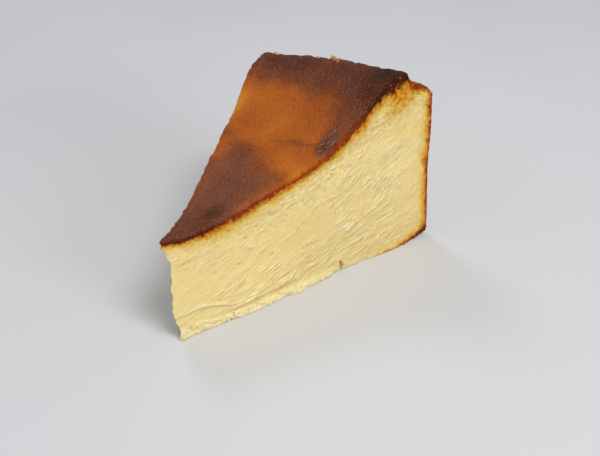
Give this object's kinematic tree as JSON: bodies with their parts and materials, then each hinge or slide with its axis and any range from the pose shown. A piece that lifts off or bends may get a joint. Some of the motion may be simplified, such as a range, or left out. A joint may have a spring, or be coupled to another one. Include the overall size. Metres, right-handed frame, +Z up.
{
  "type": "cheesecake slice",
  "caption": "Slice of burnt-top Basque cheesecake: a pointed wedge of pale set curd under a scorched skin, low at the tip and rising to a tall rim, standing on a flat base.",
  "frame": {"origin": "on the flat base, on the slice's centre line, half a cake radius out from the middle of the cake", "axes": "+X runs from the tip to the baked wall along the slice's centre line, +Y to the left-hand cut, +Z up"},
  "size_m": [0.0983, 0.0663, 0.0621],
  "materials": {
    "curd": "moist, creamy cut curd with a satin, scorched brown skin on the top and the outer wall"
  },
  "bodies": {
    "root": {"slice": "curd"}
  },
  "joints": []
}
